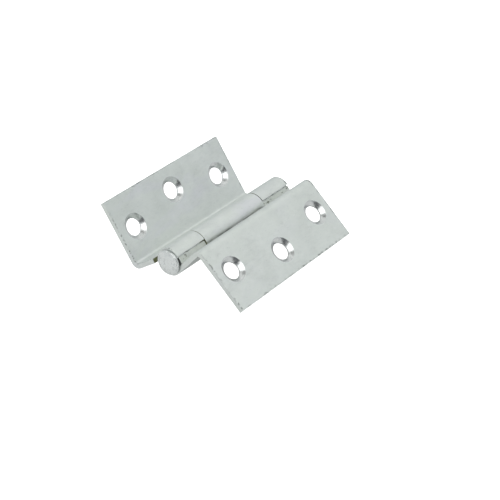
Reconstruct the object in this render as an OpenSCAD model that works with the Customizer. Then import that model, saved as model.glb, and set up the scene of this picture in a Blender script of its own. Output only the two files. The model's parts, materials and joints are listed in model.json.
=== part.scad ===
// Cranked butt hinge, the storm-proof window pattern: two sheet steel leaves, each cranked
// at a right angle and rolled into knuckles that turn on one headed pin.
//
// Both leaves are drawn round the pin's axis, with X along the pin. The leaf with one knuckle
// has its web straight down and its flat towards +Y. The leaf with two knuckles has its web
// straight up and its flat towards -Y, and then leans over to the opening angle. Last, the
// whole hinge is tipped so that it lies on a table: on the outside of one fold and on the
// free edge of the other leaf.

/* [Sheet and leaves] */
// Length of both leaves along the pin
leaf_length = 50.8; // [48:0.1:54]
// Thickness of the steel sheet
sheet = 1.4; // [1.3:0.05:1.5]
// Inside radius of the right-angle fold in each leaf
fold_r = 0.9; // [0.7:0.1:1.1]
// Height of the pin axis over the screw face of the leaf with one knuckle
drop_one = 13.5; // [13:0.1:14]
// Distance from the pin axis to the free edge of that leaf
reach_one = 22.2; // [21:0.1:24]
// Distance from the pin axis to the near face of that leaf's web
web_one = 2.45; // [2.35:0.05:2.55]
// Height of the screw face of the leaf with two knuckles over the pin axis
drop_two = 12.6; // [12.2:0.1:13]
// Width of that leaf's flat, measured from the face of its web
width_two = 20.2; // [19:0.1:22]
// Lean of that leaf from the leaves-parallel position, which sets the opening angle
lean_two = 13.3; // [5:0.1:20]

/* [Knuckles] */
// Outside diameter of the rolled knuckles
knuckle_d = 8.4; // [8.2:0.1:8.6]
// Length of the knuckle beside the pin's head
head_knuckle = 11.6; // [10:0.1:13]
// Length of the knuckle at the pin's riveted end
tail_knuckle = 12.3; // [10:0.1:13]
// Gap between neighbouring knuckles
knuckle_gap = 0.2; // [0.15:0.05:0.3]
// Distance from the pin axis to the edge of the notches in the webs
notch = 5.9; // [5.6:0.1:6.2]
// Roll of the single knuckle, in degrees from its neck to its tip
roll_one = 300; // [280:5:305]
// Roll of the paired knuckles, in degrees from the web to the tip, which leaves the pin in view
roll_two = 274; // [265:1:285]

/* [Pin] */
// Running clearance between pin and knuckle, on the radius
pin_clearance = 0.05; // [0.03:0.01:0.08]
// Diameter of the pin's domed head
head_d = 7.4; // [7:0.1:8]
// Thickness of the head at its rim
head_rim = 0.76; // [0.6:0.02:1]
// Height of the dome over the rim
head_dome = 0.74; // [0.6:0.02:1]
// Diameter of the riveted end
rivet_d = 6.4; // [6:0.1:7]
// Height of the riveted end, half of it dome
rivet_h = 0.6; // [0.4:0.1:0.8]

/* [Screw holes] */
// Diameter of the screw holes
hole_d = 5.1; // [4.8:0.1:5.3]
// Diameter of the countersinks at the screw face
sink_d = 7.75; // [7.4:0.05:8]
// Depth of the countersinks
sink_depth = 1.0; // [0.8:0.05:1.1]
// End holes of the leaf with one knuckle, from the ends of the leaf
end_one = 6.6; // [6:0.1:7.5]
// End holes of that leaf, from the pin axis
near_one = 11.9; // [11.5:0.1:12.5]
// End holes of the leaf with two knuckles, from the ends of the leaf
end_two = 6.3; // [6:0.1:7.5]
// End holes of that leaf, from the face of its web
near_two = 9.4; // [9:0.1:10]
// Offset of the middle holes, outwards from the line of the end holes
stagger = 3.4; // [2.5:0.1:4]

/* [Hidden] */
$fn = 96;
zinc = [0.78, 0.80, 0.79];
zinc_pin = [0.72, 0.75, 0.76];
past = 1;

knuckle_r = knuckle_d / 2;
bore_r = knuckle_r - sheet;
pin_r = bore_r - pin_clearance;
fold_out = fold_r + sheet;
single_from = head_knuckle + knuckle_gap;
single_to = leaf_length - tail_knuckle - knuckle_gap;

// The neck's arc touches the web's face and the outside of the roll. Its centre lies on a 3-4-5
// slope from the pin axis, so the arcs meet exactly.
neck_y = 4 * (knuckle_r - web_one);
neck_z = 3 * (knuckle_r - web_one);
neck_r = 5 * (knuckle_r - web_one) - knuckle_r;
neck_turn = atan2(3, 4);

// The table touches the fold of one leaf and the lower free edge of the other, so the tilt
// follows from the line between the fold's centre and that edge.
edge_y = -(bore_r + width_two) * cos(lean_two) + (drop_two - sheet) * sin(lean_two);
edge_z = (bore_r + width_two) * sin(lean_two) + (drop_two - sheet) * cos(lean_two);
fold_y = web_one + fold_r;
fold_z = fold_r - drop_one;
run_y = edge_y - fold_y;
run_z = edge_z - fold_z;
tilt = 180 + asin(fold_out / norm([run_y, run_z])) - atan2(run_z, run_y);

// Shifts that put the origin at the middle of the hinge's footprint.
head_h = head_rim + head_dome;
shift_x = (head_h - rivet_h - leaf_length) / 2;
back_y = reach_one * cos(tilt) + (drop_one + sheet) * sin(tilt);
front_y = -(bore_r + width_two) * cos(tilt - lean_two) - drop_two * sin(tilt - lean_two);
shift_y = -(back_y + front_y) / 2;
shift_z = fold_out - fold_y * sin(tilt) - fold_z * cos(tilt);

// Puts a piece drawn round the pin's axis where it lies on the table.
module at_rest() {
    translate([shift_x, shift_y, shift_z]) rotate([tilt, 0, 0]) children();
}

// A flat stretch of sheet between two stations along the pin.
module flat(from, to, low, size) {
    translate([from, low[0], low[1]]) cube([to - from, size[0], size[1]]);
}

// A curved stretch of sheet: an arc of the given inside radius about a line along X through
// the centre, starting at an angle from +Y and turning towards +Z.
module arc(from, to, centre, inside, start, turn) {
    translate([from, centre[0], centre[1]]) rotate([start, 0, 0]) rotate([90, 0, 90])
        rotate_extrude(angle = turn) translate([inside, 0]) square([sheet, to - from]);
}

// The neck: the slice of a ring between the web and the line from its centre to the pin axis.
module neck() {
    translate([single_from, neck_y, -neck_z]) rotate([90, 0, 90])
        linear_extrude(single_to - single_from) intersection() {
            difference() {
                circle(neck_r + sheet);
                circle(neck_r);
            }
            polygon([[0, 0], [-neck_y, neck_z], [-neck_y, 0]]);
        }
}

// A screw hole through the sheet, countersunk from the screw face at height zero.
module screw_hole() {
    translate([0, 0, -sheet - past]) cylinder(d = hole_d, h = sheet + 2 * past);
    translate([0, 0, -sink_depth]) cylinder(d1 = hole_d, d2 = sink_d, h = sink_depth);
    cylinder(d = sink_d, h = past);
}

// The three staggered holes of a leaf: two near its ends, and the middle one further out.
module screw_holes(from_end, from_pin, outwards, face) {
    for (x = [from_end, leaf_length - from_end])
        translate([x, outwards * from_pin, face]) screw_hole();
    translate([leaf_length / 2, outwards * (from_pin + stagger), face]) screw_hole();
}

// Leaf with the single middle knuckle: flat, fold, web, and the neck that swings out to the
// roll. The web stops short of the paired knuckles at both ends.
module one_knuckle_leaf() {
    color(zinc) at_rest() difference() {
        union() {
            flat(0, leaf_length, [fold_y, -drop_one - sheet], [reach_one - fold_y, sheet]);
            arc(0, leaf_length, [fold_y, fold_z], fold_r, 180, 90);
            flat(0, leaf_length, [web_one - sheet, fold_z], [sheet, -notch - fold_z]);
            flat(single_from, single_to, [web_one - sheet, -notch], [sheet, notch - neck_z]);
            neck();
            arc(single_from, single_to, [0, 0], bore_r, -neck_turn, roll_one);
        }
        screw_holes(end_one, near_one, 1, -drop_one);
    }
}

// Leaf with the two outer knuckles: flat, fold, web, and two tabs that roll under the pin.
module two_knuckle_leaf() {
    fold_low = drop_two - fold_out;
    tabs = [[0, head_knuckle], [leaf_length - tail_knuckle, leaf_length]];
    color(zinc) at_rest() rotate([-lean_two, 0, 0]) difference() {
        union() {
            flat(0, leaf_length, [-bore_r - width_two, drop_two - sheet],
                 [width_two - fold_out, sheet]);
            arc(0, leaf_length, [-knuckle_r - fold_r, fold_low], fold_r, 0, 90);
            flat(0, leaf_length, [-knuckle_r, notch], [sheet, fold_low - notch]);
            for (tab = tabs) {
                flat(tab[0], tab[1], [-knuckle_r, 0], [sheet, notch]);
                arc(tab[0], tab[1], [0, 0], bore_r, 180, roll_two);
            }
        }
        screw_holes(end_two, bore_r + near_two, -1, drop_two);
    }
}

// A round head on the pin: a straight rim under a shallow dome, with its flat underside down.
module round_head(radius, rim, dome) {
    dome_r = (radius * radius + dome * dome) / (2 * dome);
    cylinder(r = radius, h = rim);
    rotate_extrude() intersection() {
        translate([0, rim + dome - dome_r]) circle(r = dome_r, $fn = 180);
        translate([0, rim]) square([radius, dome]);
    }
}

// Pin with its domed head at one end and the riveted end at the other.
module pin() {
    color(zinc_pin) at_rest() rotate([90, 0, 90]) {
        cylinder(r = pin_r, h = leaf_length);
        mirror([0, 0, 1]) round_head(head_d / 2, head_rim, head_dome);
        translate([0, 0, leaf_length]) round_head(rivet_d / 2, rivet_h / 2, rivet_h / 2);
    }
}

one_knuckle_leaf();
two_knuckle_leaf();
pin();
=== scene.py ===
"""Looks of the cranked butt hinge: two folded and rolled leaves on a headed pin, in bright zinc."""

import json
import math

import bmesh
import bpy
from mathutils import Matrix, Vector


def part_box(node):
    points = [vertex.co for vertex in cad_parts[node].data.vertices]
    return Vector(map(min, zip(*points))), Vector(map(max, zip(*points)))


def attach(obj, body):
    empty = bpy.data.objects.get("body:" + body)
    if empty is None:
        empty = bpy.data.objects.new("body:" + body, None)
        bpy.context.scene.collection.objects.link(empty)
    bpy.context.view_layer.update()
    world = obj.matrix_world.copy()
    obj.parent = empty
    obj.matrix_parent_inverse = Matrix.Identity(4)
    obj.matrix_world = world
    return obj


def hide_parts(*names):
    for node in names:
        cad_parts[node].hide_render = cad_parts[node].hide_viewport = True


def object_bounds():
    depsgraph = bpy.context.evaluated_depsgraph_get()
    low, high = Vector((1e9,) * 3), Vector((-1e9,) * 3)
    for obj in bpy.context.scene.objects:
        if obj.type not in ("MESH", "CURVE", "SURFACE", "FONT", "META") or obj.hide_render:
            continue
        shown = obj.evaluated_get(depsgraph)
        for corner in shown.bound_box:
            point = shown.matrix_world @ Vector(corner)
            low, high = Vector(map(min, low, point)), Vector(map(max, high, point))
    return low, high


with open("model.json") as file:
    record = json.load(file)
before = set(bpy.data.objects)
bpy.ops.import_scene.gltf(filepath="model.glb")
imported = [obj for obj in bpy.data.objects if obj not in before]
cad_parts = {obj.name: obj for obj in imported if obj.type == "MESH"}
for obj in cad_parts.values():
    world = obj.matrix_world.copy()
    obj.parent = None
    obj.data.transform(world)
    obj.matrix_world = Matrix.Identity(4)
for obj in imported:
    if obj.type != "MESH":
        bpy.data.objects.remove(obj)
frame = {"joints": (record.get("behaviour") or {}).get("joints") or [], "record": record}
cad_low, cad_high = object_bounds()

MM = 0.001

# The hinge's driving sizes, in millimetres, as in the CAD source.
LEAF_LENGTH = 50.8
SHEET = 1.4
FOLD_R = 0.9
DROP_ONE = 13.5
REACH_ONE = 22.2
WEB_ONE = 2.45
DROP_TWO = 12.6
WIDTH_TWO = 20.2
KNUCKLE_R = 4.2
HEAD_KNUCKLE = 11.6
TAIL_KNUCKLE = 12.3
KNUCKLE_GAP = 0.2
NOTCH = 5.9
ROLL_ONE = 300
ROLL_TWO = 274
PIN_R = 2.75
HEAD_R = 3.7
HEAD_RIM = 0.76
HEAD_DOME = 0.74
RIVET_R = 3.2
RIVET_H = 0.6
HOLE_R = 2.55
SINK_R = 3.875
SINK_DEPTH = 1.0
END_ONE = 6.6
NEAR_ONE = 11.9
END_TWO = 6.3
NEAR_TWO = 9.4
STAGGER = 3.4

BORE_R = KNUCKLE_R - SHEET
FOLD_OUT = FOLD_R + SHEET
SINGLE_FROM = HEAD_KNUCKLE + KNUCKLE_GAP
SINGLE_TO = LEAF_LENGTH - TAIL_KNUCKLE - KNUCKLE_GAP

# How much the sheared edges of the sheet and the rims of the screw holes are rounded.
SHEARED_EDGE = 0.08
SINK_EDGE = 0.05

# The two-knuckle leaf isn't pressed quite square: its web leans back over the pin, in degrees,
# and the inside of its fold is tight.
WEB_LEAN = 1.8
FOLD_TIGHT = 0.5

# The foot of each outer roll, pressed in between the web and the pin: its height on the web's face
# and on its back, its tip in degrees round the pin, its crest across the leaf, and how far from the
# end of the leaf it starts, with the length over which it rises.
FOOT_HIGH = 3.3
FOOT_LOW = 2.9
FOOT_TIP = 101.0
FOOT_CREST = (-0.58, 3.7)
FOOT_FROM = 0.45
FOOT_STEP = 0.05

# Fineness of the bends, of the cut holes and of the pin.
DEGREES_PER_STEP = 3.0
HOLE_SEGMENTS = 72
PIN_SEGMENTS = 96
DOME_STEPS = 21
SHOULDER_STEPS = 6
SHANK_STEPS = 40
RIVET_STEPS = 8

# Rounding of the head's shoulder and of its seat, and of the riveted end.
HEAD_SHOULDER = 0.25
HEAD_SEAT = 0.08
RIVET_EDGE = 0.05
RIVET_LIP = 0.06
RIVET_SHOULDER = 0.3

# Angles in degrees: over which an edge is rounded, and up to which shading runs on smoothly.
HARD_EDGE = 25
LEAF_SMOOTH = 40
PIN_SMOOTH = 35

# Distances in millimetres: what counts as the same point, as welded, as a rim, and as close by,
# how far the hole cutters stand past the sheet, and how far in an inner knuckle end lies at least.
TINY = 1e-6
WELD = 1e-4
RIM = 0.02
CLOSE = 0.2
PAST = 1.0
INNER_END = 1.0

# How much of a face's normal lies along an axis: on the flats, on the top of the feet, and on the
# sheet's cut ends.
FACING_OUT = 0.98
FACING_UP = 0.5
SQUARE_ON = 0.9

# The leaves' material slots after the plate itself.
SINK_SLOT = 1
FOOT_SLOT = 2
# The slot of painted shade on the knuckle ends that face each other and on the notches.
JOINT_SHADE_SLOT = 3

# How far in from its edges the sheet is nicked, and how wide the painted shadow line of the burr
# along them is.
EDGE_WEAR = 0.7
BURR_SHADE_WIDTH = 0.16

# How far up its rim the head is darkened by painted shade from the seam between it and the knuckle.
SEAT_SHADE_REACH = 0.3

# Where painted shade darkens the middle knuckle beside the other leaf, standing for the shade in
# the gap between them: degrees round the pin.
GAP_SHADE_FROM_TO = (95, 104, 114, 122)

# Colours of painted shade beside the middle knuckle, of dirt, of painted shade at the head's seat,
# of nicks and the burr's painted shadow, of marks in the plate, and of dull zinc, which is also
# painted shade on the knuckle ends, notches and feet.
GAP_SHADE_COLOUR = (0.12, 0.13, 0.12)
STAIN = (0.10, 0.11, 0.10)
SEAT_SHADE_COLOUR = (0.16, 0.17, 0.17)
NICKED_AND_BURR_SHADE = (0.24, 0.26, 0.25)
SCRATCHED = (0.52, 0.55, 0.54)
PITTED = (0.50, 0.53, 0.52)
DULL_ZINC_AND_SHADE = (0.19, 0.20, 0.08)

# The camera stands where the photograph's camera stood, found by fitting the hinge to it.
CAMERA_AT = Vector((-300.42, -238.87, 236.92)) * MM
CAMERA_LOOKS_AT = Vector((2.263, -6.773, 0.0)) * MM
CAMERA_LENS = 112.58
CAMERA_SENSOR = 36.0
CAMERA_SEES = (0.01, 50.0)

# The floor's half width in metres, how far below the hinge it lies, how bright the paper is by
# itself, and how much more it burns out the picture behind the hinge.
FLOOR_HALF = 6.0
FLOOR_DROP = 0.00002
PAPER_GLOW = 0.2
PAPER_BURN = 1.0

# The surround: its colour by the sine of the height, and the darker places in it, each with its
# direction, the cosines where it starts and is full, and how much light is left there.
SKY = (
    (0.0, (0.40, 0.42, 0.43)),
    (0.12, (0.52, 0.55, 0.56)),
    (0.31, (0.68, 0.71, 0.73)),
    (0.58, (0.82, 0.84, 0.83)),
    (1.0, (0.90, 0.92, 0.90)),
)
DARK_PLACES = (
    ((-0.36, -0.91, 0.18), 0.82, 0.95, 0.25),
    ((-0.03, 0.05, 1.0), 0.965, 0.985, 0.45),
)

# The softbox: its direction from the hinge, its distance and size in metres, and its watts.
SOFTBOX_TOWARDS = (-0.45, -0.35, 0.8)
SOFTBOX_AT = 1.2
SOFTBOX_SIZE = 0.9
SOFTBOX_WATTS = 2.7


# ---------------------------------------------------------------- placing


def mounts():
    """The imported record's mounts by name."""
    return {m["name"]: m for m in frame["record"]["mounts"]}


def leaf_frame(mount_name):
    """The frame a leaf is drawn in, at rest: X along the pin from the head end, origin on the
    pin's axis, and Z out of the leaf's screw face."""
    joint = frame["joints"][0]
    low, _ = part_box("one_knuckle_leaf")
    out = Vector(mounts()[mount_name]["axis"])
    tilt = math.atan2(-out.y, out.z)
    origin = Vector((low.x, joint["pos_m"][1], joint["pos_m"][2]))
    return Matrix.Translation(origin) @ Matrix.Rotation(tilt, 4, "X")


# ---------------------------------------------------------------- sheet metal


def polar(centre, radius, degrees):
    """A point of a circle, in the plane across the pin."""
    angle = math.radians(degrees)
    return (centre[0] + radius * math.cos(angle), centre[1] + radius * math.sin(angle))


def bend(centre, radius_face, radius_back, start, end, centre_back=None):
    """Stations along a bend: a point on the screw-face side and its partner on the back."""
    steps = max(4, round(abs(end - start) / DEGREES_PER_STEP))
    centre_back = centre_back or centre
    stations = []
    for k in range(steps + 1):
        at = start + (end - start) * k / steps
        stations.append((polar(centre, radius_face, at), polar(centre_back, radius_back, at)))
    return stations


def joined(*runs):
    """Runs of stations end to end, without doubled stations where they meet."""
    out = []
    for run in runs:
        for face, back in run:
            if not out or math.dist(out[-1][0], face) + math.dist(out[-1][1], back) > TINY:
                out.append((face, back))
    return out


def leaf_one_stations():
    """Across the one-knuckle leaf, from its free edge to the tip of its roll."""
    edge = [((REACH_ONE, -DROP_ONE), (REACH_ONE, -DROP_ONE - SHEET))]
    fold_centre = (WEB_ONE + FOLD_R, FOLD_R - DROP_ONE)
    fold = bend(fold_centre, FOLD_R, FOLD_OUT, 270, 180)
    notch = [((WEB_ONE, -NOTCH), (WEB_ONE - SHEET, -NOTCH))]
    lead = KNUCKLE_R - WEB_ONE
    neck_centre = (4 * lead, -3 * lead)
    neck_r = 5 * lead - KNUCKLE_R
    neck_turn = math.degrees(math.atan2(3, 4))
    neck = bend(neck_centre, neck_r, neck_r + SHEET, 180, 180 - neck_turn)
    roll = bend((0, 0), KNUCKLE_R, BORE_R, -neck_turn, ROLL_ONE - neck_turn)
    before_notch = len(joined(edge, fold, notch)) - 1
    return joined(edge, fold, notch, neck, roll), before_notch, {}


def leaf_two_stations():
    """Across the two-knuckle leaf, from its free edge to the tips of its rolls."""
    edge_y = -BORE_R - WIDTH_TWO
    edge = [((edge_y, DROP_TWO), (edge_y, DROP_TWO - SHEET))]
    lean = math.radians(WEB_LEAN)

    def web(out, up):
        """A point of the leaning web, from its distances off the pin and up the leaf."""
        y = -out * math.cos(lean) + up * math.sin(lean)
        z = out * math.sin(lean) + up * math.cos(lean)
        return (y, z)

    def turn_centre(out, drop):
        """The centre of a turn that touches the web, and the flat at a depth below its face."""
        rise = (DROP_TWO - drop - out * math.sin(lean)) / math.cos(lean)
        return web(out, rise)

    outside = turn_centre(BORE_R + FOLD_OUT, FOLD_OUT)
    inside = turn_centre(KNUCKLE_R + FOLD_TIGHT, SHEET + FOLD_TIGHT)
    fold = bend(outside, FOLD_OUT, FOLD_TIGHT, 90, -WEB_LEAN, inside)
    notch = [(web(BORE_R, NOTCH), web(KNUCKLE_R, NOTCH))]
    foot = [
        (web(BORE_R, FOOT_HIGH), web(KNUCKLE_R, FOOT_HIGH)),
        (FOOT_CREST, web(KNUCKLE_R, (FOOT_HIGH + FOOT_LOW) / 2)),
    ]
    steps = round((180 - WEB_LEAN - FOOT_TIP) / DEGREES_PER_STEP)
    for k in range(steps + 1):
        share = k / steps
        at = FOOT_TIP + (180 - WEB_LEAN - FOOT_TIP) * share
        foot.append((polar((0, 0), BORE_R, at), web(KNUCKLE_R, FOOT_LOW * (1 - share))))
    roll = bend((0, 0), BORE_R, KNUCKLE_R, 180 - WEB_LEAN, 180 + ROLL_TWO)
    before_notch = len(joined(edge, fold, notch)) - 1
    stations = joined(edge, fold, notch, foot, roll)
    without_foot = {}
    for j, (_, back) in enumerate(stations):
        if before_notch < j < before_notch + len(foot):
            up = math.sqrt(max(0, math.hypot(*back) ** 2 - KNUCKLE_R**2))
            without_foot[j] = web(BORE_R, up)
    return stations, before_notch, without_foot


def sheet_mesh(stations, before_notch, without_foot, along, rolled):
    """A closed bmesh of folded sheet. The stations run across it, and along holds the places
    along the pin where the pattern changes. Past the notch only the stretches that are rolled
    go on. In front of FOOT_FROM the feet are left out."""
    bm = bmesh.new()
    grid = {}

    def corner(i, j, side):
        key = (i, j, side)
        if key not in grid:
            y, z = stations[j][side]
            if side == 0 and along[i] < FOOT_FROM:
                y, z = without_foot.get(j, (y, z))
            grid[key] = bm.verts.new((along[i], y, z))
        return grid[key]

    def present(i, j):
        inside = 0 <= i < len(along) - 1 and 0 <= j < len(stations) - 1
        return inside and (j < before_notch or i in rolled)

    def wall(i0, j0, i1, j1):
        bm.faces.new(
            (corner(i0, j0, 0), corner(i0, j0, 1), corner(i1, j1, 1), corner(i1, j1, 0))
        )

    for i in range(len(along) - 1):
        for j in range(len(stations) - 1):
            if not present(i, j):
                continue
            ring = [(i, j), (i + 1, j), (i + 1, j + 1), (i, j + 1)]
            bm.faces.new([corner(a, b, 0) for a, b in ring])
            bm.faces.new([corner(a, b, 1) for a, b in reversed(ring)])
            if not present(i - 1, j):
                wall(i, j, i, j + 1)
            if not present(i + 1, j):
                wall(i + 1, j + 1, i + 1, j)
            if not present(i, j - 1):
                wall(i + 1, j, i, j)
            if not present(i, j + 1):
                wall(i, j + 1, i + 1, j + 1)
    bmesh.ops.recalc_face_normals(bm, faces=bm.faces)
    return bm


def lathe(bm, profile, centre, axis_to, segments):
    """Adds a solid of revolution to a bmesh. The profile is (radius, height) from one end of
    the axis to the other; heights run along axis_to from the centre."""
    turn = Vector((0, 0, 1)).rotation_difference(Vector(axis_to)).to_matrix().to_4x4()
    place = Matrix.Translation(Vector(centre)) @ turn
    rings = []
    for radius, height in profile:
        if radius < TINY:
            rings.append([bm.verts.new(place @ Vector((0, 0, height)))])
            continue
        ring = []
        for k in range(segments):
            angle = 2 * math.pi * k / segments
            point = Vector((radius * math.cos(angle), radius * math.sin(angle), height))
            ring.append(bm.verts.new(place @ point))
        rings.append(ring)
    for low, high in zip(rings, rings[1:]):
        for k in range(segments):
            n = (k + 1) % segments
            quad = [low[k % len(low)], low[n % len(low)], high[n % len(high)], high[k % len(high)]]
            distinct = [v for m, v in enumerate(quad) if v not in quad[:m]]
            if len(distinct) > 2:
                bm.faces.new(distinct)


def hole_centres(from_end, from_pin, outwards):
    """The three staggered screw holes of a leaf, as places along and across it."""
    return [
        (from_end, outwards * from_pin),
        (LEAF_LENGTH / 2, outwards * (from_pin + STAGGER)),
        (LEAF_LENGTH - from_end, outwards * from_pin),
    ]


def punch(leaf, centres, face_height):
    """Cuts the countersunk screw holes out of a leaf."""
    profile = [
        (0, -SHEET - PAST),
        (HOLE_R, -SHEET - PAST),
        (HOLE_R, -SINK_DEPTH),
        (SINK_R, 0),
        (SINK_R, PAST),
        (0, PAST),
    ]
    bm = bmesh.new()
    for x, y in centres:
        lathe(bm, profile, (x, y, face_height), (0, 0, 1), HOLE_SEGMENTS)
    bmesh.ops.recalc_face_normals(bm, faces=bm.faces)
    mesh = bpy.data.meshes.new("cutter")
    bm.to_mesh(mesh)
    bm.free()
    cutter = bpy.data.objects.new("cutter", mesh)
    bpy.context.scene.collection.objects.link(cutter)
    cut = leaf.modifiers.new("holes", "BOOLEAN")
    cut.operation = "DIFFERENCE"
    cut.solver = "EXACT"
    cut.object = cutter
    apply_modifiers(leaf)
    bpy.data.objects.remove(cutter)


def apply_modifiers(obj):
    """Replaces an object's mesh by what its modifiers make of it."""
    bpy.context.view_layer.update()
    seen = obj.evaluated_get(bpy.context.evaluated_depsgraph_get())
    mesh = bpy.data.meshes.new_from_object(seen)
    obj.modifiers.clear()
    obj.data = mesh


def near_hole(point, centres, reach):
    """True where a point lies within reach of a screw hole's axis."""
    return any(math.dist((point.x, point.y), c) < reach for c in centres)


def soften_edges(obj, centres, face_height):
    """Rounds the sheared edges of the sheet, and the rims of the screw holes by less."""
    bm = bmesh.new()
    bm.from_mesh(obj.data)
    bmesh.ops.remove_doubles(bm, verts=bm.verts, dist=WELD)
    sharp = math.radians(HARD_EDGE)

    def is_rim(edge):
        in_flat = all(abs(v.co.z - face_height) < SHEET + CLOSE for v in edge.verts)
        return in_flat and all(near_hole(v.co, centres, SINK_R + CLOSE) for v in edge.verts)

    hard = [e for e in bm.edges if len(e.link_faces) == 2 and e.calc_face_angle(0) > sharp]
    rims = [e for e in hard if is_rim(e)]
    outer = [e for e in hard if not is_rim(e)]
    for edges, width, segments in ((outer, SHEARED_EDGE, 3), (rims, SINK_EDGE, 2)):
        bmesh.ops.bevel(
            bm,
            geom=edges,
            offset=width,
            offset_type="OFFSET",
            segments=segments,
            profile=0.5,
            affect="EDGES",
            clamp_overlap=True,
        )
        rims = [e for e in rims if e.is_valid]
    bm.to_mesh(obj.data)
    bm.free()


def settle(mesh, place):
    """Keeps where each point was drawn, in millimetres, for the materials, and then puts the
    mesh where it rests, in metres."""
    drawn = mesh.attributes.new("drawn", "FLOAT_VECTOR", "POINT")
    for point, vertex in zip(drawn.data, mesh.vertices):
        point.vector = vertex.co
    mesh.transform(place @ Matrix.Scale(MM, 4))


def smooth(obj, angle):
    """Smooth shading over bends and rounded edges, with flats kept flat."""
    obj.data.shade_smooth()
    obj.data.set_sharp_from_angle(angle=math.radians(angle))
    weighted = obj.modifiers.new("weighted", "WEIGHTED_NORMAL")
    weighted.keep_sharp = True
    weighted.mode = "FACE_AREA"


def cut_and_shade_countersinks(mesh, centres, face_height):
    """Gives the walls of the screw holes their own material slot."""
    for face in mesh.polygons:
        in_flat = abs(face.center.z - face_height) < SHEET + CLOSE
        wall = abs(face.normal.z) < FACING_OUT
        if in_flat and wall and near_hole(face.center, centres, SINK_R + RIM):
            face.material_index = SINK_SLOT


def dull_and_shade_feet(mesh):
    """Gives the feet of the rolls, between the web and the pin, a duller, darker colour: partly
    dull zinc and partly painted shade of the recess they lie in.
    """
    for face in mesh.polygons:
        over_pin = math.hypot(face.center.y, face.center.z) > BORE_R
        between = -BORE_R < face.center.y < 0 and 0 < face.center.z < FOOT_CREST[1] + CLOSE / 2
        if over_pin and between and face.normal.z > FACING_UP:
            face.material_index = FOOT_SLOT


def paint_joint_shade(mesh):
    """Gives the ends of the knuckles that face each other, and the notches, a dark colour:
    painted shade for the narrow gaps between the knuckles and for the notch faces in shadow."""
    for face in mesh.polygons:
        inside = INNER_END < face.center.x < LEAF_LENGTH - INNER_END
        knuckle = math.hypot(face.center.y, face.center.z) < KNUCKLE_R
        knuckle_end = knuckle and abs(face.normal.x) > SQUARE_ON
        notch = abs(abs(face.center.z) - NOTCH) < CLOSE and abs(face.normal.z) > SQUARE_ON
        if inside and (knuckle_end or notch):
            face.material_index = JOINT_SHADE_SLOT


def make_leaf(name, plan, along, rolled, centres, face_height, place, materials):
    """One leaf, from its pattern of stations to its rounded, finished mesh."""
    bm = sheet_mesh(*plan, along, rolled)
    mesh = bpy.data.meshes.new(name)
    bm.to_mesh(mesh)
    bm.free()
    obj = bpy.data.objects.new(name, mesh)
    bpy.context.scene.collection.objects.link(obj)
    punch(obj, centres, face_height)
    soften_edges(obj, centres, face_height)
    obj.data.materials.clear()
    for material in materials:
        obj.data.materials.append(material)
    cut_and_shade_countersinks(obj.data, centres, face_height)
    dull_and_shade_feet(obj.data)
    paint_joint_shade(obj.data)
    settle(obj.data, place)
    obj.data.name = name
    smooth(obj, LEAF_SMOOTH)
    return obj


# ---------------------------------------------------------------- pin


def pin_profile():
    """The pin's outline as (radius, distance along the pin), head end first."""
    outline = [(0, -HEAD_RIM - HEAD_DOME)]
    dome_r = (HEAD_R**2 + HEAD_DOME**2) / (2 * HEAD_DOME)
    for k in range(1, DOME_STEPS + 1):
        radius = (HEAD_R - HEAD_SHOULDER) * k / DOME_STEPS
        rise = math.sqrt(dome_r**2 - radius**2) - (dome_r - HEAD_DOME)
        outline.append((radius, -HEAD_RIM - rise))
    corner = (HEAD_R - HEAD_SHOULDER, outline[-1][1] + HEAD_SHOULDER)
    for k in range(1, SHOULDER_STEPS + 1):
        outline.append(polar(corner, HEAD_SHOULDER, 90 * k / SHOULDER_STEPS - 90))
    outline.append((HEAD_R, -HEAD_SEAT))
    outline.append((HEAD_R - HEAD_SEAT, 0))
    for k in range(SHANK_STEPS + 1):
        outline.append((PIN_R, LEAF_LENGTH * k / SHANK_STEPS))
    outline.append((RIVET_R - RIVET_EDGE, LEAF_LENGTH))
    outline.append((RIVET_R, LEAF_LENGTH + RIVET_LIP))
    outline.append((RIVET_R - RIVET_EDGE, LEAF_LENGTH + RIVET_H / 2))
    for k in range(1, RIVET_STEPS + 1):
        share = 1 - k / RIVET_STEPS
        height = LEAF_LENGTH + RIVET_H - RIVET_H / 2 * share**2
        outline.append(((RIVET_R - RIVET_SHOULDER) * share, height))
    return outline


def make_pin(place, material):
    """The headed pin."""
    bm = bmesh.new()
    lathe(bm, pin_profile(), (0, 0, 0), (1, 0, 0), PIN_SEGMENTS)
    bmesh.ops.recalc_face_normals(bm, faces=bm.faces)
    mesh = bpy.data.meshes.new("pin_body")
    bm.to_mesh(mesh)
    bm.free()
    settle(mesh, place)
    obj = bpy.data.objects.new("pin_body", mesh)
    bpy.context.scene.collection.objects.link(obj)
    obj.data.materials.append(material)
    smooth(obj, PIN_SMOOTH)
    return obj


# ---------------------------------------------------------------- materials


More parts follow.
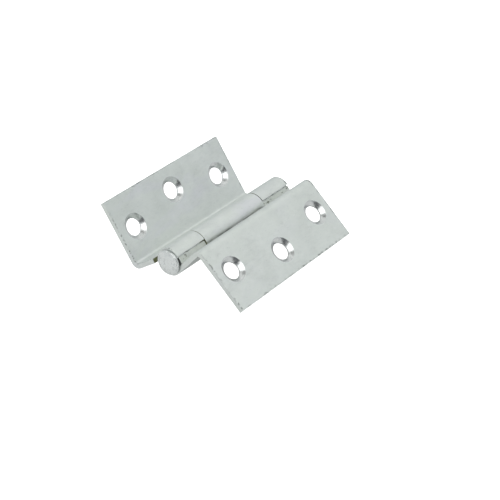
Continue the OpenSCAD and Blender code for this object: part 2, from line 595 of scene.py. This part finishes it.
class Graph:
    """A small helper that builds a material's nodes."""

    def __init__(self, name):
        self.material = bpy.data.materials.new(name)
        self.material.use_nodes = True
        self.take(self.material)
        self.shader = self.nodes["Principled BSDF"]
        drawn = self.add("ShaderNodeAttribute", attribute_name="drawn")
        self.place = drawn.outputs["Vector"]

    def take(self, owner):
        self.nodes = owner.node_tree.nodes
        self.links = owner.node_tree.links

    @classmethod
    def of(cls, world):
        """A graph for a world, which has no shader and no drawn coordinates."""
        graph = cls.__new__(cls)
        graph.take(world)
        return graph

    def add(self, kind, **settings):
        node = self.nodes.new(kind)
        for key, value in settings.items():
            setattr(node, key, value)
        return node

    def link(self, source, target):
        self.links.new(source, target)

    def stretched(self, scale):
        """Drawn coordinates in millimetres, squeezed by scale along each axis."""
        node = self.add("ShaderNodeMapping")
        node.inputs["Scale"].default_value = scale
        self.link(self.place, node.inputs["Vector"])
        return node.outputs["Vector"]

    def noise(self, scale, detail=4.0, roughness=0.55, distortion=0.0):
        """Noise whose features are about 1/scale millimetres long."""
        node = self.add("ShaderNodeTexNoise")
        self.link(self.stretched(scale), node.inputs["Vector"])
        node.inputs["Scale"].default_value = 1.0
        node.inputs["Detail"].default_value = detail
        node.inputs["Roughness"].default_value = roughness
        node.inputs["Distortion"].default_value = distortion
        return node.outputs["Fac"]

    def coordinate(self, axis):
        """One of the drawn coordinates, in millimetres."""
        split = self.add("ShaderNodeSeparateXYZ")
        self.link(self.place, split.inputs["Vector"])
        return split.outputs[axis]

    def near_edges(self, wide, free_edge):
        """One along the ends and the free edge of a leaf's faces, fading to nothing inwards. The
        sheared ends themselves are left out."""
        half = LEAF_LENGTH / 2
        off_middle = self.maths("SUBTRACT", self.coordinate("X"), half)
        from_middle = self.maths("ABSOLUTE", off_middle, 0)
        ends = self.span(from_middle, half - wide, half - wide / 2)
        from_pin = self.maths("ABSOLUTE", self.coordinate("Y"), 0)
        free = self.span(from_pin, free_edge - wide, free_edge - wide / 2)
        on_face = self.span(from_middle, half - SHEARED_EDGE / 8, half - SHEARED_EDGE / 2)
        return self.times(self.maths("MAXIMUM", ends, free), on_face)

    def round_pin(self, start, full, end, gone):
        """One between two angles round the pin, in degrees, on the outside of a knuckle."""
        angle = self.maths("ARCTAN2", self.coordinate("Z"), self.coordinate("Y"))
        rising = self.span(angle, math.radians(start), math.radians(full))
        falling = self.span(angle, math.radians(gone), math.radians(end))
        across = self.add("ShaderNodeVectorMath", operation="MULTIPLY")
        self.link(self.place, across.inputs[0])
        across.inputs[1].default_value = (0, 1, 1)
        length = self.add("ShaderNodeVectorMath", operation="LENGTH")
        self.link(across.outputs["Vector"], length.inputs[0])
        knuckle = self.span(length.outputs["Value"], KNUCKLE_R + 0.3, KNUCKLE_R + 0.1)
        return self.times(knuckle, self.times(rising, falling))

    def span(self, value, low, high):
        """Zero below low, one above high, and straight between."""
        node = self.add("ShaderNodeMapRange")
        self.link(value, node.inputs["Value"])
        node.inputs["From Min"].default_value = low
        node.inputs["From Max"].default_value = high
        return node.outputs["Result"]

    def ramp(self, factor, stops):
        """A value or colour that follows a factor through the given stops."""
        node = self.add("ShaderNodeValToRGB")
        ramp = node.color_ramp
        ramp.elements[0].position = stops[0][0]
        ramp.elements[-1].position = stops[-1][0]
        ramp.elements[0].color = rgba(stops[0][1])
        ramp.elements[-1].color = rgba(stops[-1][1])
        for position, value in stops[1:-1]:
            ramp.elements.new(position).color = rgba(value)
        self.link(factor, node.inputs["Fac"])
        return node.outputs["Color"]

    def maths(self, operation, a, b):
        node = self.add("ShaderNodeMath", operation=operation)
        for socket, value in zip(node.inputs, (a, b)):
            if isinstance(value, (int, float)):
                socket.default_value = value
            else:
                self.link(value, socket)
        return node.outputs["Value"]

    def times(self, a, b):
        return self.maths("MULTIPLY", a, b)

    def mix(self, factor, a, b):
        """Goes from colour a to colour b as the factor goes from zero to one."""
        node = self.add("ShaderNodeMix", data_type="RGBA")
        for name, value in (("Factor", factor), ("A", a), ("B", b)):
            socket = node.inputs[name]
            if isinstance(value, (int, float)):
                socket.default_value = value
            elif isinstance(value, tuple):
                socket.default_value = rgba(value)
            else:
                self.link(value, socket)
        return node.outputs["Result"]

    def bump(self, height, depth_mm, under=None):
        """Relief of the given depth, laid over the relief under it."""
        node = self.add("ShaderNodeBump")
        node.inputs["Strength"].default_value = 1.0
        node.inputs["Distance"].default_value = depth_mm * MM
        self.link(height, node.inputs["Height"])
        if under is not None:
            self.link(under, node.inputs["Normal"])
        return node.outputs["Normal"]


def rgba(value):
    """A colour with alpha, from a grey level or three numbers."""
    if isinstance(value, (int, float)):
        return (value, value, value, 1.0)
    return (*value, 1.0)


def plate_tone(g, mottle, lavender):
    """Unmarked zinc plate: a cloudy, faintly greenish grey with lavender patches."""
    clouds = g.noise((0.09, 0.09, 0.09), detail=5)
    passivated = g.noise((0.055, 0.13, 0.13), detail=3, distortion=0.6)
    tone = g.ramp(clouds, [(0.3, (0.74, 0.775, 0.745)), (0.7, (0.785, 0.815, 0.795))])
    patches = g.ramp(passivated, [(0.5, 0.0), (0.68, lavender)])
    tone = g.mix(patches, tone, (0.755, 0.765, 0.80))
    tone = g.mix(g.ramp(mottle, [(0.38, 0.35), (0.5, 0.0)]), tone, (0.68, 0.715, 0.70))
    return g.mix(g.ramp(mottle, [(0.56, 0.0), (0.72, 0.5)]), tone, (0.85, 0.87, 0.865))


def scuff_marks(g):
    """Thin, wandering scuffs, in patches."""
    lines = g.noise((0.22, 3.4, 3.4), detail=2, distortion=1.4)
    thin = g.ramp(lines, [(0.488, 0.0), (0.5, 1.0), (0.512, 0.0)])
    handled = g.ramp(g.noise((0.2, 0.2, 0.2), detail=3), [(0.46, 0.0), (0.58, 1.0)])
    return g.times(thin, handled)


def nick_and_burr_shade_marks(g, free_edge):
    """Nicks near the sheared edges, in patches, and a broken painted shadow line right along them,
    where the burr shades the edge.
    """
    dents = g.ramp(g.noise((1.1, 1.6, 1.6), detail=4), [(0.51, 0.0), (0.57, 1.0)])
    handled = g.ramp(g.noise((0.16, 0.16, 0.16), detail=2), [(0.44, 0.0), (0.55, 1.0)])
    nicks_and_burr_shade = g.times(g.near_edges(EDGE_WEAR, free_edge), g.times(dents, handled))
    broken = g.ramp(g.noise((0.5, 0.7, 0.7), detail=5), [(0.47, 0.0), (0.58, 0.8)])
    # Painted shadow: a broken dark line right along the edges, standing for the burr's shadow.
    burr_shade = g.times(g.near_edges(BURR_SHADE_WIDTH, free_edge), broken)
    return g.maths("MAXIMUM", nicks_and_burr_shade, burr_shade)


def stained_and_shaded(g, tone, stains, gap_shade):
    """A colour with dark stains, and with a broken band of painted shade on the middle knuckle
    beside the other leaf, where the gap between them is in shade.
    """
    if stains:
        spots = g.ramp(g.noise((0.55, 1.1, 1.1), detail=4), [(0.35, stains), (0.40, 0.0)])
        tone = g.mix(spots, tone, STAIN)
    if gap_shade:
        shade_depth = g.ramp(g.noise((0.2, 0.6, 0.6), detail=4), [(0.4, 0.0), (0.6, gap_shade)])
        # Painted shade: a broken dark band on the middle knuckle where the gap beside the other
        # leaf is in shade.
        tone = g.mix(g.times(g.round_pin(*GAP_SHADE_FROM_TO), shade_depth), tone, GAP_SHADE_COLOUR)
    return tone


def plate_material(name, free_edge, lavender=0.75, shade=1.0, stains=0.0, gap_shade=0.0):
    """Bright zinc plate on rolled sheet, with fine grain, pits, scuffs, nicks and a painted shadow
    line along the burr, and, where asked, a painted shade band beside the other leaf.
    The shade says how much of the plate's own colour is left over the dull, dark one, which is
    painted shade on the knuckle ends and notches and partly painted shade on the feet."""
    g = Graph(name)
    g.shader.inputs["Metallic"].default_value = 1.0
    mottle = g.noise((0.55, 0.9, 0.9), detail=5, roughness=0.65)
    grain = g.noise((0.35, 7.0, 7.0), detail=3)
    pits = g.ramp(g.noise((2.6, 2.6, 2.6), detail=3), [(0.27, 1.0), (0.34, 0.0)])
    scuffs = scuff_marks(g)
    nicks_and_burr_shade = nick_and_burr_shade_marks(g, free_edge)

    tone = plate_tone(g, mottle, lavender)
    tone = g.mix(g.times(pits, 0.7), tone, PITTED)
    tone = g.mix(g.times(scuffs, 0.55), tone, SCRATCHED)
    # Nicks, and the painted shadow line along the burr.
    tone = g.mix(g.times(nicks_and_burr_shade, 0.8), tone, NICKED_AND_BURR_SHADE)
    tone = stained_and_shaded(g, tone, stains, gap_shade)
    # The dull colour is painted shade on the knuckle ends and notches, and partly on the feet.
    g.link(g.mix(1.0 - shade, tone, DULL_ZINC_AND_SHADE), g.shader.inputs["Base Color"])

    rough = g.ramp(mottle, [(0.3, 0.34), (0.7, 0.46)])
    rough = g.maths("ADD", rough, g.times(grain, 0.10))
    rough = g.maths("ADD", rough, g.times(nicks_and_burr_shade, 0.2))
    g.link(rough, g.shader.inputs["Roughness"])

    normal = g.bump(g.noise((0.06, 0.06, 0.06), detail=2), 0.5)
    normal = g.bump(mottle, 0.02, under=normal)
    normal = g.bump(grain, 0.006, under=normal)
    normal = g.bump(g.noise((5.0, 5.0, 5.0), detail=5), 0.008, under=normal)
    marks = g.maths("ADD", g.maths("ADD", pits, nicks_and_burr_shade), scuffs)
    normal = g.bump(marks, -0.03, under=normal)
    g.link(normal, g.shader.inputs["Normal"])
    return g.material


def sink_material():
    """The cut countersinks, smoother than the sheet, with turned rings, in a tone darker than the
    plate that is partly painted shade on the hole walls.
    """
    g = Graph("zinc_cut_and_shaded")
    g.shader.inputs["Metallic"].default_value = 1.0
    turned = g.noise((1.2, 1.2, 6.0), detail=3)
    # Partly painted shade: the walls take a darker tone than the plate.
    tone = g.ramp(turned, [(0.35, (0.58, 0.60, 0.60)), (0.65, (0.76, 0.77, 0.77))])
    g.link(tone, g.shader.inputs["Base Color"])
    g.link(g.ramp(turned, [(0.3, 0.12), (0.7, 0.26)]), g.shader.inputs["Roughness"])
    g.link(g.bump(turned, 0.03), g.shader.inputs["Normal"])
    return g.material


def pin_material():
    """Bright zinc plate on the drawn pin, with a few knocks, and painted shade where the head sits
    against the knuckle.
    """
    g = Graph("zinc_pin")
    g.shader.inputs["Metallic"].default_value = 1.0
    clouds = g.noise((0.3, 0.3, 0.3), detail=5)
    tone = g.ramp(clouds, [(0.3, (0.76, 0.785, 0.78)), (0.7, (0.82, 0.845, 0.84))])
    from_seat = g.maths("ABSOLUTE", g.coordinate("X"), 0)
    # Painted shade: the pin darkens at the head's seat, where the seam against the knuckle is in
    # shade.
    seat_shade = g.span(from_seat, SEAT_SHADE_REACH, SEAT_SHADE_REACH / 2)
    tone = g.mix(g.times(seat_shade, 0.85), tone, SEAT_SHADE_COLOUR)
    g.link(tone, g.shader.inputs["Base Color"])
    drawn = g.noise((0.3, 5.0, 5.0), detail=4)
    g.link(g.ramp(drawn, [(0.3, 0.2), (0.7, 0.32)]), g.shader.inputs["Roughness"])
    knocks = g.ramp(g.noise((0.9, 0.55, 0.55), detail=2), [(0.52, 0.0), (0.6, 1.0)])
    normal = g.bump(g.noise((0.5, 0.7, 0.7), detail=3), 0.03)
    normal = g.bump(knocks, -0.14, under=normal)
    normal = g.bump(drawn, 0.004, under=normal)
    g.link(normal, g.shader.inputs["Normal"])
    return g.material


def floor_material():
    """White studio paper on a light table: lit from behind just enough to photograph white."""
    g = Graph("paper")
    fibres = g.noise((0.8, 0.8, 0.8), detail=4)
    g.link(g.ramp(fibres, [(0.3, 0.62), (0.7, 0.64)]), g.shader.inputs["Base Color"])
    g.shader.inputs["Roughness"].default_value = 0.9
    g.shader.inputs["Specular IOR Level"].default_value = 0.1
    g.shader.inputs["Emission Color"].default_value = rgba(1.0)
    seen = g.add("ShaderNodeLightPath").outputs["Is Camera Ray"]
    glow = g.maths("ADD", g.times(seen, PAPER_BURN), PAPER_GLOW)
    g.link(glow, g.shader.inputs["Emission Strength"])
    return g.material


# ---------------------------------------------------------------- studio


def make_floor():
    """A plain pale floor under the hinge."""
    height = cad_low.z - FLOOR_DROP
    bm = bmesh.new()
    corners = [(-1, -1), (1, -1), (1, 1), (-1, 1)]
    bm.faces.new([bm.verts.new((x * FLOOR_HALF, y * FLOOR_HALF, height)) for x, y in corners])
    mesh = bpy.data.meshes.new("floor")
    bm.to_mesh(mesh)
    bm.free()
    floor = bpy.data.objects.new("floor", mesh)
    bpy.context.scene.collection.objects.link(floor)
    floor.data.materials.append(floor_material())


def make_softbox():
    """A square area light that faces the hinge from over the camera."""
    light = bpy.data.lights.new("over_camera", "AREA")
    light.shape = "SQUARE"
    light.size = SOFTBOX_SIZE
    light.energy = SOFTBOX_WATTS
    softbox = bpy.data.objects.new("over_camera", light)
    direction = Vector(SOFTBOX_TOWARDS).normalized()
    softbox.location = direction * SOFTBOX_AT
    softbox.rotation_mode = "QUATERNION"
    softbox.rotation_quaternion = direction.to_track_quat("Z", "Y")
    bpy.context.scene.collection.objects.link(softbox)


def make_surround():
    """The pale surround: dimmer at the horizon, with two darker places for the metal to show, and
    as white as the paper where the camera sees it."""
    world = bpy.data.worlds.new("studio")
    bpy.context.scene.world = world
    world.use_nodes = True
    g = Graph.of(world)
    direction = g.add("ShaderNodeTexCoord").outputs["Generated"]
    split = g.add("ShaderNodeSeparateXYZ")
    g.link(direction, split.inputs["Vector"])
    colour = g.ramp(split.outputs["Z"], SKY)
    for towards, start, full, left in DARK_PLACES:
        dot = g.add("ShaderNodeVectorMath", operation="DOT_PRODUCT")
        g.link(direction, dot.inputs[0])
        dot.inputs[1].default_value = Vector(towards).normalized()
        inside = g.span(dot.outputs["Value"], start, full)
        colour = g.mix(g.times(inside, 1 - left), colour, (0.0, 0.0, 0.0))
    seen = g.add("ShaderNodeLightPath").outputs["Is Camera Ray"]
    g.link(g.mix(seen, colour, (1.0, 1.0, 1.0)), g.nodes["Background"].inputs["Color"])


def make_camera():
    """The photograph's camera."""
    data = bpy.data.cameras.new("camera")
    data.lens = CAMERA_LENS
    data.sensor_width = CAMERA_SENSOR
    data.clip_start = CAMERA_SEES[0]
    data.clip_end = CAMERA_SEES[1]
    camera = bpy.data.objects.new("camera", data)
    camera.location = CAMERA_AT
    camera.rotation_mode = "QUATERNION"
    camera.rotation_quaternion = (CAMERA_LOOKS_AT - CAMERA_AT).to_track_quat("-Z", "Y")
    bpy.context.scene.collection.objects.link(camera)
    bpy.context.scene.camera = camera


# ---------------------------------------------------------------- build


def build():
    """Makes the hinge's pieces and hangs them on the CAD bodies."""
    # Leaf one's plate has painted shade on its middle knuckle, beside the other leaf.
    plate_one = plate_material("zinc_plate_one", REACH_ONE, gap_shade=0.9)
    plate_two = plate_material("zinc_plate_two", BORE_R + WIDTH_TWO, lavender=0.25)
    # Painted shade for the gaps between the knuckles and for the notch faces.
    joint_shade = plate_material("zinc_joint_shade", REACH_ONE, shade=0.1)
    sink = sink_material()
    # Partly dull zinc and partly painted shade of the recess the feet lie in.
    foot = plate_material("zinc_dull_and_shaded", REACH_ONE, shade=0.85, stains=0.8)
    place_one = leaf_frame("screw_one_middle")
    place_two = leaf_frame("screw_two_middle")
    tail_from = LEAF_LENGTH - TAIL_KNUCKLE
    one = make_leaf(
        "leaf_one",
        leaf_one_stations(),
        [0, SINGLE_FROM, SINGLE_TO, LEAF_LENGTH],
        (1,),
        hole_centres(END_ONE, NEAR_ONE, 1),
        -DROP_ONE,
        place_one,
        (plate_one, sink, plate_one, joint_shade),
    )
    two = make_leaf(
        "leaf_two",
        leaf_two_stations(),
        [0, FOOT_FROM - FOOT_STEP, FOOT_FROM, HEAD_KNUCKLE, tail_from, LEAF_LENGTH],
        (0, 1, 2, 4),
        hole_centres(END_TWO, BORE_R + NEAR_TWO, -1),
        DROP_TWO,
        place_two,
        (plate_two, sink, foot, joint_shade),
    )
    pin = make_pin(place_one, pin_material())
    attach(one, "one_knuckle_side")
    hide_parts("one_knuckle_leaf")
    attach(two, "two_knuckle_side")
    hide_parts("two_knuckle_leaf")
    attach(pin, "two_knuckle_side")
    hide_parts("pin")


bpy.context.scene.view_settings.view_transform = "Standard"
build()
make_floor()
make_surround()
make_softbox()
make_camera()
